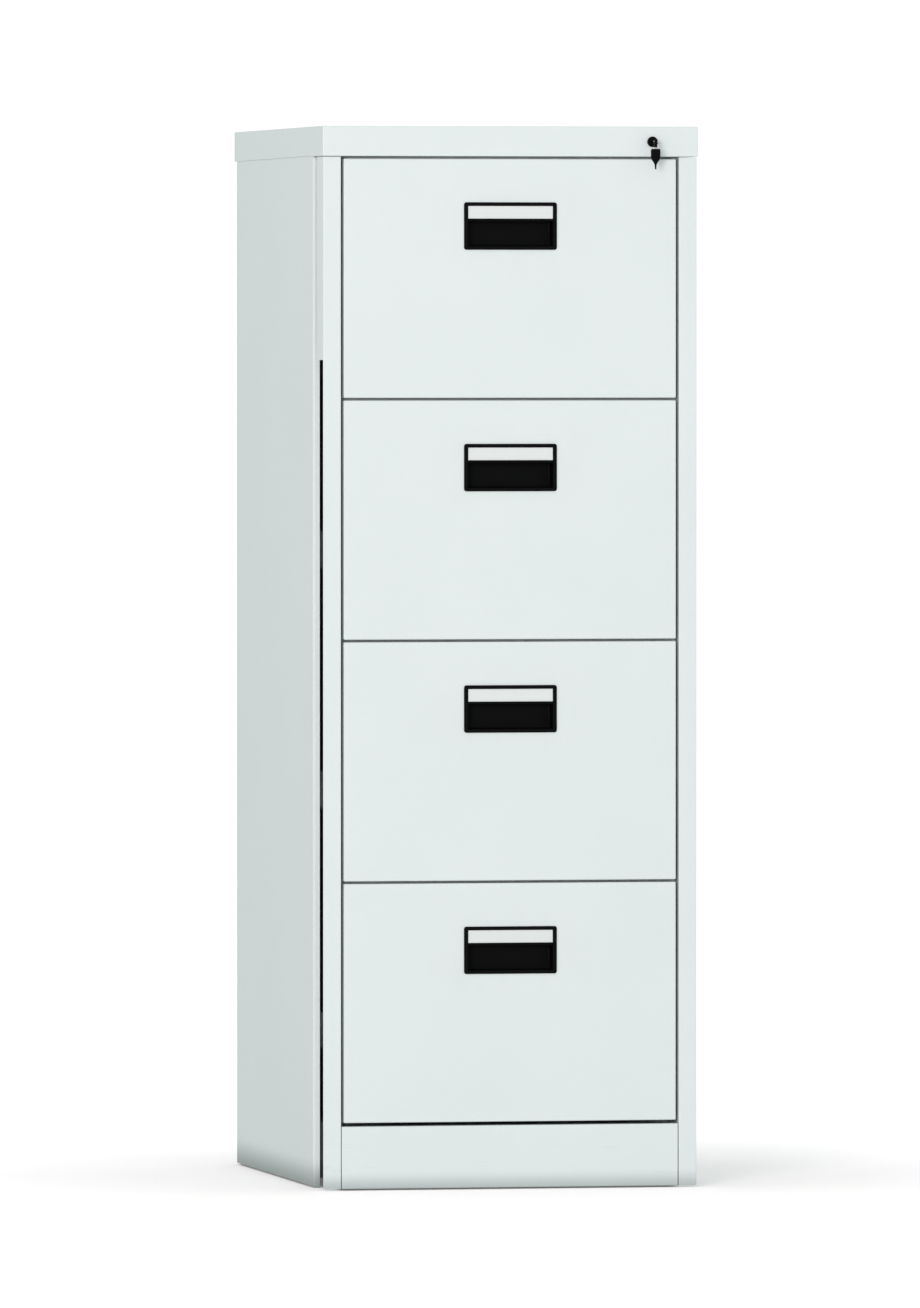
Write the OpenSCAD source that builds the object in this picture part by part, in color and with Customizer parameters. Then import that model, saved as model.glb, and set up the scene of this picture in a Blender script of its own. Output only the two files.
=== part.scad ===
// Four-drawer steel filing cabinet with one lock for all drawers.
// Front faces -Y, +X is to the right of someone facing it, z = 0 is the floor.

/* [Cabinet] */
// Width over the top cover
cabinet_w = 475; // [420:1:600]
// Depth of the top cover, front to back
cabinet_d = 622; // [500:1:760]
// Height from the floor to the top
cabinet_h = 1321; // [1100:1:1600]
// Thickness of the folded steel sheet
sheet_t = 0.8; // [0.6:0.1:1.2]
// Gap that keeps moving pieces apart
clear = 0.4; // [0.3:0.05:0.6]

/* [Top cover] */
// Height of the cover's skirt
cover_h = 37.5; // [34:0.5:60]
// How far the cover stands in front of the drawer faces
cover_proud = 3; // [2:0.5:6]
// How far the cover runs past the back of the body
cover_overhang = 13; // [0:1:30]
// How far the cover's sides stand outside the side panels
cover_side_step = 0.6; // [0.4:0.1:0.9]

/* [Side panels] */
// Distance from the drawer faces back to the side panel's front edge
edge_setback = 68; // [45:1:90]
// Outside radius of the side panel's rolled front edge
edge_r = 3; // [2:0.5:5]
// Width of the side panel's front flange, seen behind the stile
edge_flange_w = 8.5; // [7:0.5:14]
// Width of the side panel's rear and top flanges
side_flange_w = 20; // [12:1:30]

/* [Front stiles] */
// Width of the stile's front face
stile_w = 22.5; // [18:0.5:30]
// How far the stile stands inside the side panel's face
stile_step = 0.4; // [0.2:0.1:3]
// Depth of the side strip at the top of the stile
strip_d = 42; // [20:1:55]
// Height of the side strip below the cover
strip_h = 252; // [100:4:400]
// Open seam between the cover and the stile's face
stile_top_gap = 0.8; // [0.5:0.1:3]

/* [Base] */
// Height of the plinth's top edge
plinth_h = 79; // [60:1:120]
// Depth of the plinth's folded edges
plinth_d = 18; // [12:1:24]
// Open seam at each end of the plinth
plinth_seam = 0.8; // [0.3:0.1:2]
// Gap under the panels, where the glides stand proud
glide_proud = 1.5; // [1:0.5:5]
// Radius of a glide's sole
glide_r = 14; // [10:1:18]
// Distance from the body's edges to a glide's middle
glide_inset = 32; // [24:1:50]
// Width of the lip under the base pan that carries the glides
base_lip_w = 60; // [50:1:80]

/* [Drawer fronts] */
// Gap at each side of a drawer front
front_side_gap = 3.5; // [3:0.5:8]
// Gap above the top drawer front
front_top_gap = 3; // [2:0.5:5]
// Gap between two drawer fronts
front_gap = 3; // [2:0.5:5]
// Gap between the lowest drawer front and the plinth
front_bottom_gap = 4.5; // [2:0.5:8]
// Thickness of a double-skinned drawer front
front_t = 22; // [20:1:30]

/* [Drawer trays] */
// Height of the tray's floor over the front's lower edge
tray_lift = 10; // [8:1:20]
// Gap between the file rails and the cross rail above them
tray_top_gap = 28; // [12:1:60]
// How far the tray's back is lower than its sides
tray_back_drop = 46; // [0:1:120]
// Gap between the tray's back and the cabinet's back panel
tray_back_gap = 18; // [10:1:40]
// Height of the file rail's lip over the tray's sides
rail_lip_h = 8; // [4:1:12]
// Distance from the tray's wall to the middle of the file rail's lip
rail_inset = 5.5; // [4:0.5:10]

/* [Runners] */
// Thickness of a telescopic runner
runner_t = 12.7; // [12:0.1:16]
// Height of the runner's cabinet member
runner_h = 45.7; // [40:0.1:56]
// Height of the runner's middle over the front's lower edge
runner_rise = 110; // [60:1:140]
// Distance from the drawer faces to the runner's front end
runner_setback = 57; // [50:1:70]
// Gap between the runner's back end and the cabinet's back panel
runner_back_gap = 18; // [10:1:40]
// Steel thickness of the runner members
runner_wall = 1.2; // [1:0.1:1.5]
// Radius of the balls in the outer race
ball_r = 2.3; // [2:0.05:2.4]

/* [Handle] */
// Width of the handle's frame
handle_w = 117.5; // [90:1:160]
// Height of the handle's frame
handle_h = 59; // [50:1:80]
// How far the frame stands in front of the drawer front
handle_proud = 2; // [1:0.5:2.5]
// Distance from the drawer front's upper edge to the frame
handle_drop = 54; // [30:1:100]
// Width of the frame's rim around the grip and the label
handle_rim = 4.5; // [4:0.5:8]
// Depth of the handle's cup behind the drawer face
cup_d = 18.5; // [15:0.5:19]
// Wall of the moulded cup
cup_wall = 1.8; // [1.2:0.1:2.5]
// Width of the label window
window_w = 107.5; // [70:0.5:140]
// Height of the label window
window_h = 16; // [8:0.5:20]
// Thickness of the label card
label_t = 0.5; // [0.3:0.1:1]

/* [Lock] */
// Distance from the cover's right side to the lock
lock_inset = 58; // [45:0.1:90]
// Distance from the top down to the lock
lock_drop = 19; // [18:0.5:20]
// Radius of the lock's face
lock_face_r = 6.6; // [6.2:0.1:9]
// Thickness of the lock's face
lock_face_t = 2.5; // [1.5:0.5:4]
// Radius of the lock's barrel
barrel_r = 5.6; // [5.4:0.1:6]
// Length of the barrel behind the cover's front
barrel_l = 19; // [16:1:24]
// Radius of the turning plug
plug_r = 4; // [3.6:0.1:4.2]
// Radial running clearance of turning pieces
run_fit = 0.06; // [0.02:0.01:0.1]
// Distance from the plug's axis to the cam's pin
cam_reach = 12; // [11:0.5:13]
// Radius of the cam's pin
cam_pin_r = 2; // [1.5:0.1:2.5]
// How far the hanging key reaches in front of the cover
key_reach = 22.5; // [20:0.5:30]
// Width of the key's bow
bow_w = 11.4; // [8:0.5:16]
// Thickness of the key's bow
bow_t = 5.5; // [4.5:0.5:7]
// Thickness of the key's blade
blade_t = 1.8; // [1.4:0.1:2]
// Height of the key's blade
blade_h = 5.4; // [4.5:0.1:6]

/* [Hidden] */
$fn = 48;

// Overlap that joins the shapes within one piece, and that cuts right through
eps = 0.01;
drawers = 4;

// Widths, as distances from the middle plane
half_w = cabinet_w / 2;
panel_x = half_w - cover_side_step;
panel_in_x = panel_x - sheet_t;
neck_x = half_w - sheet_t;
stile_x = panel_x - stile_step;
jamb_x = stile_x - stile_w;
front_x = jamb_x - front_side_gap;
tray_x = jamb_x - runner_t;

// Depths, from the front to the back
cover_front_y = (key_reach - cabinet_d) / 2;
cover_back_y = (key_reach + cabinet_d) / 2;
face_y = cover_front_y + cover_proud;
edge_y = face_y + edge_setback;
body_back_y = cover_back_y - cover_overhang;
back_panel_y = body_back_y - 2 * sheet_t;
liner_y = face_y + front_t - sheet_t;
tray_y = face_y + front_t;
tray_back_y = back_panel_y - tray_back_gap;
runner_y = face_y + runner_setback;
runner_back_y = back_panel_y - runner_back_gap;

// Heights
cover_z = cabinet_h - cover_h;
top_inside_z = cabinet_h - sheet_t;
front_top_z = cover_z - front_top_gap;
front_bottom_z = plinth_h + front_bottom_gap;
pitch = (front_top_z - front_bottom_z + front_gap) / drawers;
front_h = pitch - front_gap;
function drawer_z(i) = front_bottom_z + (drawers - i) * pitch;

// Base pan
pan_z = plinth_h - 2 * sheet_t;
base_lip_z = 8;
stem_r = 4;
stem_top_z = base_lip_z + 14;
sole_t = 5;
neck_share = 0.6;
glide_nut_r = 7.5;
glide_nut_t = 6;

// Cross rails behind the drawer fronts
rail_y = tray_y + 2;
rail_d = 20;
rail_h = 22;
rail_over = 4;
buffer_r = 5;
buffer_inset = 25;
buffer_drop = 9;

// Tray heights, held under the cross rail
tray_side_h = pitch + rail_over - rail_h - tray_top_gap - rail_lip_h - tray_lift;
tray_back_h = tray_side_h - tray_back_drop;

// Screws through the side panels' rear flanges
screw_rows = 5;
screw_inset = 40;
screw_low_z = plinth_h + screw_inset;
screw_pitch = (cover_z - screw_inset - screw_low_z) / (screw_rows - 1);
screw_r = 2;
screw_head_r = 3.8;
screw_head_t = 1.8;
screw_tip = 3;
thread_gap = 0.05;
screw_x = panel_x - side_flange_w / 2;

// Uprights that carry the runners
upright_d = 30;
upright_y = edge_y + 80;
upright_back_y = back_panel_y - 44;
upright_top_gap = 20;
slot_w = 10;
slot_h = 4;
slot_pitch = 50;
slot_lead = 20;

// Runner members, measured inwards from the jamb plane
lip_in = 10;
lip_h = 3;
middle_in = 4.2;
middle_out = 10.2;
middle_h = runner_h - 2 * runner_wall - 2 * (2 * ball_r + 2 * clear);
inner_ball_r = ball_r - 0.2;
outer_ball_in = 6.05;
inner_ball_in = 8;
weld_in = 7.2;
inner_h = middle_h - 2 * runner_wall - 2 * (2 * inner_ball_r + 2 * clear);
ball_count = 4;
ball_pitch = 30;
ball_lead = 25;
cage_t = 0.8;
cage_end = 5;
cage_edge = 0.4;

// File rails
rail_t = 1.5;
rail_leg = 20;

// Lock
lock_x = half_w - lock_inset;
lock_z = cabinet_h - lock_drop;
plug_back_y = cover_front_y + barrel_l + 1;
nut_r = 9.5;
nut_t = 3.5;
keyway_gap = 0.1;
keyway_rise = 0.15;
keyway_end = 0.5;
cam_screw_r = 1.5;
cam_screw_head_r = 2.9;
cam_t = 2;
cam_half = 5;
bar_t = 2;
bar_w = 12;
bar_x = panel_in_x - 6.4;
guide_wall = 1.6;
bar_y = edge_y + edge_r + clear + guide_wall;
bar_bottom_z = drawer_z(drawers) + 40;
cross_y = plug_back_y + cam_t + 2;
cam_rise = cam_reach * sqrt(0.5);
slot_play = 1;
head_h = 12;
head_z = lock_z + cam_rise - head_h / 2;
hook_h = 8;
hook_rise = 178;
hook_tip_x = tray_x + 4.2;
catch_rise = 160;
catch_h = 14;
catch_d = 4;
catch_x = jamb_x - 3.5;
catch_y = bar_y + bar_t + 1;
guide_rise = 60;
guide_h = 14;

// Key, with its bow folded down
pin_y = cover_front_y - key_reach + bow_t / 2;
pin_r = 0.8;
key_face_y = cover_front_y - lock_face_t;
blade_in = 17;
neck_w = 5;
slot_gap = 0.3;
shoulder_drop = 8.7;
bow_bottom_z = front_top_z + clear;

// Handle
grip_h = 31;
handle_corner_r = 3;
body_inset = 3;
lip_t = 3.2;
pocket_in = 0.8;
pocket_lip = 1;
pocket_gap = 0.2;
pocket_back_y = face_y - handle_proud + pocket_in + label_t + pocket_gap;

steel = [0.91, 0.93, 0.93];
zinc = [0.72, 0.74, 0.76];
black = [0.03, 0.035, 0.035];

// ---- Shared shapes ----

// A box given by two corners.
module span(low, high) {
    translate(low)
        cube(high - low);
}

// A flat rectangle with round corners, centred on the origin.
module round_rect(w, h, r) {
    square([w - 2 * r, h], center = true);
    square([w, h - 2 * r], center = true);
    for (sx = [-1, 1])
        for (sy = [-1, 1])
            translate([sx * (w / 2 - r), sy * (h / 2 - r)])
                circle(r = r);
}

// Stands a flat XY outline up in the XZ plane, from y0 back to y1.
module upright_plate(y0, y1) {
    translate([0, y1, 0])
        rotate([90, 0, 0])
            linear_extrude(height = y1 - y0)
                children();
}

// A round bar along Y.
module bar_along_y(x, z, r, y0, y1) {
    translate([x, y1, z])
        rotate([90, 0, 0])
            cylinder(r = r, h = y1 - y0);
}

// A piece that has a mirror image on the other side of the cabinet.
module both_sides() {
    children();
    mirror([1, 0, 0])
        children();
}

// ---- Carcass ----

// Shallow tray turned over the body, drilled for the lock. Its front skirt turns
// back in a flange that closes the top of the stiles.
module top_cover() {
    color(steel)
        difference() {
            span([-half_w, cover_front_y, cover_z], [half_w, cover_back_y, cabinet_h]);
            span([-neck_x, cover_front_y + sheet_t, cover_z + sheet_t],
                 [neck_x, cover_back_y - sheet_t, top_inside_z]);
            span([-neck_x, edge_y + sheet_t, cover_z - eps],
                 [neck_x, cover_back_y - sheet_t, cover_z + 2 * sheet_t]);
            bar_along_y(lock_x, lock_z, barrel_r + run_fit,
                        cover_front_y - eps, cover_front_y + sheet_t + eps);
        }
}

// The right side panel in plan: rolled front edge, flat side, rear flange.
module side_profile() {
    translate([panel_in_x, edge_y + edge_r])
        square([sheet_t, body_back_y - edge_y - edge_r]);
    translate([panel_x - edge_r, edge_y + edge_r])
        intersection() {
            difference() {
                circle(r = edge_r);
                circle(r = edge_r - sheet_t);
            }
            translate([0, -edge_r])
                square(edge_r);
        }
    translate([panel_x - edge_flange_w, edge_y])
        square([edge_flange_w - edge_r, sheet_t]);
    translate([panel_x - side_flange_w, body_back_y - sheet_t])
        square([side_flange_w, sheet_t]);
}

// One side of the body, with a neck that steps in under the cover.
module side_panel() {
    color(steel)
        difference() {
            union() {
                translate([0, 0, glide_proud])
                    linear_extrude(height = cover_z - glide_proud)
                        side_profile();
                span([neck_x - sheet_t, edge_y + edge_r, cover_z - 2 * sheet_t],
                     [neck_x, body_back_y, top_inside_z]);
                span([neck_x - side_flange_w, edge_y + edge_r, top_inside_z - sheet_t],
                     [neck_x, body_back_y, top_inside_z]);
            }
            back_screw_shapes(0);
        }
}

module side_panel_right() {
    side_panel();
}

module side_panel_left() {
    mirror([1, 0, 0])
        side_panel();
}

// Flat sheet inside the side panels' rear flanges.
module back_panel() {
    color(steel)
        difference() {
            span([sheet_t - neck_x, back_panel_y, base_lip_z + sheet_t],
                 [neck_x - sheet_t, back_panel_y + sheet_t, top_inside_z - sheet_t]);
            both_sides()
                back_screw_shapes(0);
        }
}

// Screws through the rear flanges, shrunk by a gap where they pass through the sheets.
module back_screw_shapes(gap) {
    for (k = [0 : screw_rows - 1])
        bar_along_y(screw_x, screw_low_z + k * screw_pitch, screw_r - gap,
                    back_panel_y - screw_tip, body_back_y + eps);
}

module back_screws() {
    color(zinc)
        both_sides() {
            back_screw_shapes(thread_gap);
            for (k = [0 : screw_rows - 1])
                bar_along_y(screw_x, screw_low_z + k * screw_pitch, screw_head_r,
                            body_back_y, body_back_y + screw_head_t);
        }
}

// The right stile: front face, jamb beside the drawers, and a side strip at the top.
// A tab on the jamb reaches the cover; the face and the strip stop short of it.
module stile() {
    top_z = cover_z - stile_top_gap;
    color(steel) {
        span([jamb_x, face_y, glide_proud], [stile_x, face_y + sheet_t, top_z]);
        span([jamb_x, face_y, glide_proud], [jamb_x + sheet_t, edge_y + sheet_t, top_z]);
        span([jamb_x, face_y + front_t, top_z - eps],
             [jamb_x + sheet_t, edge_y + sheet_t, cover_z]);
        span([stile_x - sheet_t, face_y, top_z - strip_h], [stile_x, face_y + strip_d, top_z]);
    }
}

module stile_right() {
    stile();
}

module stile_left() {
    mirror([1, 0, 0])
        stile();
}

// Kick panel between the stiles, folded back at its top, bottom and ends.
module plinth() {
    x = jamb_x - plinth_seam;
    color(steel)
        difference() {
            span([-x, face_y, glide_proud], [x, face_y + plinth_d, plinth_h]);
            span([sheet_t - x, face_y + sheet_t, glide_proud + sheet_t],
                 [x - sheet_t, face_y + plinth_d + eps, plinth_h - sheet_t]);
        }
}

// Floor of the body: narrow between the jambs, wide between the side panels.
module base_outline(inset) {
    back = back_panel_y - inset;
    wide = panel_in_x - inset;
    narrow = jamb_x - inset;
    front = face_y + plinth_d + inset;
    step = upright_y + inset;
    polygon([
        [-narrow, front], [narrow, front], [narrow, step], [wide, step],
        [wide, back], [-wide, back], [-wide, step], [-narrow, step]
    ]);
}

module base_pan() {
    lip = base_lip_w;
    color(steel)
        difference() {
            translate([0, 0, base_lip_z])
                linear_extrude(height = pan_z - base_lip_z)
                    base_outline(0);
            translate([0, 0, base_lip_z + sheet_t])
                linear_extrude(height = pan_z - base_lip_z - 2 * sheet_t)
                    base_outline(sheet_t);
            span([lip - panel_in_x, edge_y + lip, base_lip_z - eps],
                 [panel_in_x - lip, back_panel_y - lip, base_lip_z + 2 * sheet_t]);
            glide_spots()
                translate([0, 0, base_lip_z - eps])
                    cylinder(r = stem_r, h = 3 * sheet_t);
        }
}

// The four corners where glides stand.
module glide_spots() {
    front = edge_y + glide_inset;
    back = back_panel_y - glide_inset;
    for (sx = [-1, 1])
        for (y = [front, back])
            translate([sx * (panel_in_x - glide_inset), y, 0])
                children();
}

// Sole, stem and nut of each glide, clamped to the base pan's lip.
module floor_glides() {
    color(black)
        glide_spots() {
            cylinder(r = glide_r, h = sole_t);
            cylinder(r = glide_r * neck_share, h = base_lip_z);
            cylinder(r = stem_r - thread_gap, h = stem_top_z);
            translate([0, 0, base_lip_z + sheet_t])
                cylinder(r = glide_nut_r, h = glide_nut_t, $fn = 6);
        }
}

// A channel across the opening, open to the back.
module cross_channel(low_z, high_z) {
    difference() {
        span([-jamb_x, rail_y, low_z], [jamb_x, rail_y + rail_d, high_z]);
        span([-jamb_x - eps, rail_y + sheet_t, low_z + sheet_t],
             [jamb_x + eps, rail_y + rail_d + eps, high_z - sheet_t]);
    }
}

module top_rail() {
    color(steel)
        cross_channel(cover_z - rail_h, cover_z);
}

// Heights of the rails between two drawers.
function divider_top(i) = drawer_z(i) + rail_over;

module divider_rails() {
    color(steel)
        for (i = [1 : drawers - 1])
            cross_channel(divider_top(i) - rail_h, divider_top(i));
}

// Rubber buttons on the rails that the drawer fronts close against.
module drawer_buffers() {
    color(black)
        for (i = [1 : drawers])
            for (sx = [-1, 1])
                bar_along_y(sx * (front_x - buffer_inset), drawer_z(i) + front_h - buffer_drop,
                            buffer_r, tray_y + clear, rail_y);
}

// One slotted post, its web in the jamb plane and its flanges against the side panel.
module upright(y0) {
    low_z = pan_z;
    high_z = cover_z - upright_top_gap;
    slots = floor((high_z - low_z - 2 * slot_lead) / slot_pitch);
    difference() {
        span([jamb_x, y0, low_z], [panel_in_x, y0 + upright_d, high_z]);
        span([jamb_x + sheet_t, y0 + sheet_t, low_z - eps],
             [panel_in_x + eps, y0 + upright_d - sheet_t, high_z + eps]);
        for (k = [0 : slots])
            span([jamb_x - eps, y0 + (upright_d - slot_w) / 2, low_z + slot_lead + k * slot_pitch],
                 [jamb_x + 2 * sheet_t, y0 + (upright_d + slot_w) / 2,
                  low_z + slot_lead + k * slot_pitch + slot_h]);
    }
}

module uprights_right() {
    color(zinc) {
        upright(upright_y);
        upright(upright_back_y);
    }
}

module uprights_left() {
    mirror([1, 0, 0])
        uprights_right();
}

// ---- Telescopic runners ----

// A C-shaped runner section, standing on its web, in the XZ plane.
// near and far are the web's and the lips' distances from the jamb plane.
module c_section(near, far, h) {
    translate([-near - runner_wall, -h / 2])
        square([runner_wall, h]);
    for (s = [-1, 1])
        translate([-far, s * (h - runner_wall) / 2 - runner_wall / 2])
            square([far - near, runner_wall]);
}

// Places a runner section at the jamb plane of drawer i and runs it front to back.
module along_runner(i) {
    translate([jamb_x, 0, drawer_z(i) + runner_rise])
        upright_plate(runner_y, runner_back_y)
            children();
}

// Cabinet members: wide channels with lips that keep the balls in.
module runner_channels_right() {
    color(zinc)
        for (i = [1 : drawers])
            along_runner(i) {
                c_section(0, lip_in, runner_h);
                for (s = [-1, 1])
                    translate([-lip_in, s * (runner_h / 2 - lip_h / 2) - lip_h / 2])
                        square([runner_wall, lip_h]);
            }
}

module runner_channels_left() {
    mirror([1, 0, 0])
        runner_channels_right();
}

// A row of balls in its cage.
module ball_row(x, z, r, y0) {
    l = ball_pitch * (ball_count - 1) + 2 * cage_end;
    half = r - cage_edge;
    span([x - half, y0, z - cage_t / 2], [x + half, y0 + l, z + cage_t / 2]);
    for (k = [0 : ball_count - 1])
        translate([x, y0 + cage_end + k * ball_pitch, z])
            sphere(r = r, $fn = 24);
}

// Middle members with the ball rows of both races.
module middle_runners(i) {
    outer_z = middle_h / 2 + clear + ball_r;
    inner_z = inner_h / 2 + clear + inner_ball_r;
    outer_x = jamb_x - outer_ball_in;
    inner_x = jamb_x - inner_ball_in;
    color(zinc)
        both_sides() {
            along_runner(i)
                c_section(middle_in - runner_wall, middle_out, middle_h);
            for (s = [-1, 1]) {
                translate([0, 0, drawer_z(i) + runner_rise + s * outer_z])
                    ball_row(outer_x, 0, ball_r, runner_y + ball_lead);
                translate([0, 0, drawer_z(i) + runner_rise + s * inner_z])
                    ball_row(inner_x, 0, inner_ball_r, runner_y + ball_lead);
            }
        }
}

// Drawer members, welded to the tray's sides.
module drawer_runners(i) {
    color(zinc)
        both_sides()
            along_runner(i)
                mirror([1, 0, 0])
                    translate([runner_t, 0])
                        c_section(0, weld_in, inner_h);
}

// ---- Drawers ----

// Flat outline of the hole that the handle's cup passes through.
module cup_outline(gap) {
    round_rect(handle_w - 2 * body_inset + 2 * gap, handle_h - 2 * body_inset + 2 * gap, 2);
}

// Middle height of drawer i's handle.
function handle_z(i) = drawer_z(i) + front_h - handle_drop - handle_h / 2;

// Outer skin of a drawer front, a pan with the handle's hole.
module drawer_front(i) {
    z = drawer_z(i);
    color(steel)
        difference() {
            span([-front_x, face_y, z], [front_x, face_y + front_t, z + front_h]);
            span([sheet_t - front_x, face_y + sheet_t, z + sheet_t],
                 [front_x - sheet_t, face_y + front_t + eps, z + front_h - sheet_t]);
            translate([0, 0, handle_z(i)])
                upright_plate(face_y - eps, face_y + 2 * sheet_t)
                    cup_outline(0.2);
        }
}

// Inner skin that closes the pan's back.
module front_liner(i) {
    z = drawer_z(i);
    color(steel)
        span([sheet_t - front_x, liner_y, z + sheet_t],
             [front_x - sheet_t, tray_y, z + front_h - sheet_t]);
}

// Folded tray: floor, sides and back, with the lock's catch on the right.
module drawer_tray(i) {
    z = drawer_z(i) + tray_lift;
    color(steel) {
        span([-tray_x, tray_y, z], [tray_x, tray_back_y, z + sheet_t]);
        both_sides()
            span([tray_x - sheet_t, tray_y, z], [tray_x, tray_back_y, z + tray_side_h]);
        span([-tray_x, tray_back_y - sheet_t, z], [tray_x, tray_back_y, z + tray_back_h]);
        span([tray_x - sheet_t / 2, catch_y, drawer_z(i) + catch_rise],
             [catch_x, catch_y + catch_d, drawer_z(i) + catch_rise + catch_h]);
    }
}

// Two rails along the tray's sides that hanging files hook over.
module file_rails(i) {
    wall_x = tray_x - sheet_t;
    top_z = drawer_z(i) + tray_lift + tray_side_h;
    lip_x = wall_x - rail_inset;
    color(zinc)
        both_sides() {
            span([wall_x - rail_t, tray_y, top_z - rail_leg],
                 [wall_x, tray_back_y - sheet_t, top_z]);
            span([lip_x, tray_y, top_z - rail_t], [wall_x, tray_back_y - sheet_t, top_z]);
            span([lip_x - rail_t / 2, tray_y, top_z - rail_t],
                 [lip_x + rail_t / 2, tray_back_y - sheet_t, top_z + rail_lip_h]);
        }
}

// Moulded pull: frame, label pocket and a cup that fingers reach into and up behind.
module handle(i) {
    top = handle_h / 2;
    pocket_z = top - handle_rim - window_h;
    cup_w = handle_w - 2 * body_inset - 2 * cup_wall;
    cup_h = handle_h - 2 * body_inset - 2 * cup_wall;
    color(black)
        translate([0, 0, handle_z(i)])
            difference() {
                union() {
                    upright_plate(face_y - handle_proud, face_y)
                        round_rect(handle_w, handle_h, handle_corner_r);
                    upright_plate(face_y - eps, face_y + cup_d)
                        cup_outline(0);
                }
                upright_plate(face_y - handle_proud + lip_t, face_y + cup_d - cup_wall)
                    round_rect(cup_w, cup_h, 1);
                span([-window_w / 2, face_y - handle_proud - eps, handle_rim - top],
                     [window_w / 2, face_y + cup_d - cup_wall - eps, handle_rim - top + grip_h]);
                span([-window_w / 2, face_y - handle_proud - eps, pocket_z],
                     [window_w / 2, face_y - handle_proud + 1, pocket_z + window_h]);
                span([-window_w / 2 - pocket_lip, face_y - handle_proud + pocket_in,
                      pocket_z - pocket_lip],
                     [window_w / 2 + pocket_lip, pocket_back_y, pocket_z + window_h + pocket_lip]);
            }
}

// Plain card in the handle's pocket.
module label_card(i) {
    pocket_z = handle_z(i) + handle_h / 2 - handle_rim - window_h;
    edge = pocket_lip - pocket_gap;
    color("white")
        span([-window_w / 2 - edge, pocket_back_y - label_t, pocket_z - pocket_lip],
             [window_w / 2 + edge, pocket_back_y, pocket_z + window_h + edge]);
}

// ---- Lock ----

// Face and barrel, bored for the plug.
module lock_housing() {
    color(black)
        difference() {
            union() {
                bar_along_y(lock_x, lock_z, lock_face_r, key_face_y, cover_front_y);
                bar_along_y(lock_x, lock_z, barrel_r, cover_front_y - eps, cover_front_y + barrel_l);
            }
            bar_along_y(lock_x, lock_z, plug_r + run_fit, key_face_y - eps,
                        cover_front_y + barrel_l + eps);
        }
}

// Six-sided nut that clamps the cover between itself and the lock's face.
module lock_nut() {
    color(zinc)
        difference() {
            translate([lock_x, cover_front_y + sheet_t + nut_t, lock_z])
                rotate([90, 30, 0])
                    cylinder(r = nut_r, h = nut_t, $fn = 6);
            bar_along_y(lock_x, lock_z, barrel_r + thread_gap, cover_front_y,
                        cover_front_y + sheet_t + nut_t + eps);
        }
}

// Turning plug with the keyway.
module lock_plug() {
    color(zinc)
        difference() {
            bar_along_y(lock_x, lock_z, plug_r, key_face_y - clear, plug_back_y);
            span([lock_x - blade_t / 2 - keyway_gap, key_face_y - 1,
                  lock_z - blade_h / 2 - keyway_rise],
                 [lock_x + blade_t / 2 + keyway_gap, key_face_y - clear + blade_in + keyway_end,
                  lock_z + blade_h / 2 + keyway_rise]);
        }
}

// Arm on the plug's back end, its pin in the lock bar's slot.
module lock_cam() {
    color(zinc)
        translate([lock_x, plug_back_y, lock_z])
            rotate([0, -45, 0])
                difference() {
                    union() {
                        rotate([-90, 0, 0])
                            cylinder(r = cam_half, h = cam_t);
                        translate([0, 0, -cam_half * 0.6])
                            cube([cam_reach, cam_t, cam_half * 1.2]);
                        translate([cam_reach, 0, 0])
                            rotate([-90, 0, 0])
                                cylinder(r = cam_half * 0.6, h = cam_t);
                        translate([cam_reach, cam_t - eps, 0])
                            rotate([-90, 0, 0])
                                cylinder(r = cam_pin_r, h = bar_t + 3);
                    }
                    translate([0, -eps, 0])
                        rotate([-90, 0, 0])
                            cylinder(r = cam_screw_r, h = cam_t + 2 * eps);
                }
}

// Screw that holds the cam on the plug.
module cam_screw() {
    color(zinc) {
        bar_along_y(lock_x, lock_z, cam_screw_r - thread_gap, plug_back_y,
                    plug_back_y + cam_t + eps);
        bar_along_y(lock_x, lock_z, cam_screw_head_r, plug_back_y + cam_t,
                    plug_back_y + cam_t + screw_head_t);
    }
}

// Flat key blade: shaft in the plug, collar outside and an eye for the pin.
module key_blade() {
    collar_y = key_face_y - clear;
    eye_r = 2.4;
    color(zinc)
        difference() {
            union() {
                span([lock_x - blade_t / 2, collar_y - eps, lock_z - blade_h / 2],
                     [lock_x + blade_t / 2, collar_y + blade_in, lock_z + blade_h / 2]);
                span([lock_x - 2.2, collar_y - 3, lock_z - 3.2],
                     [lock_x + 2.2, collar_y, lock_z + 3.2]);
                span([lock_x - blade_t / 2, pin_y, lock_z - eye_r],
                     [lock_x + blade_t / 2, collar_y - 3 + eps, lock_z + eye_r]);
                translate([lock_x - blade_t / 2, pin_y, lock_z])
                    rotate([0, 90, 0])
                        cylinder(r = eye_r, h = blade_t);
            }
            translate([lock_x - blade_t, pin_y, lock_z])
                rotate([0, 90, 0])
                    cylinder(r = pin_r, h = 2 * blade_t);
        }
}

// Pin that the bow folds on, fixed in the blade's eye.
module key_pin() {
    color(zinc)
        translate([lock_x - neck_w / 2, pin_y, lock_z])
            rotate([0, 90, 0])
                cylinder(r = pin_r, h = neck_w);
}

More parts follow.
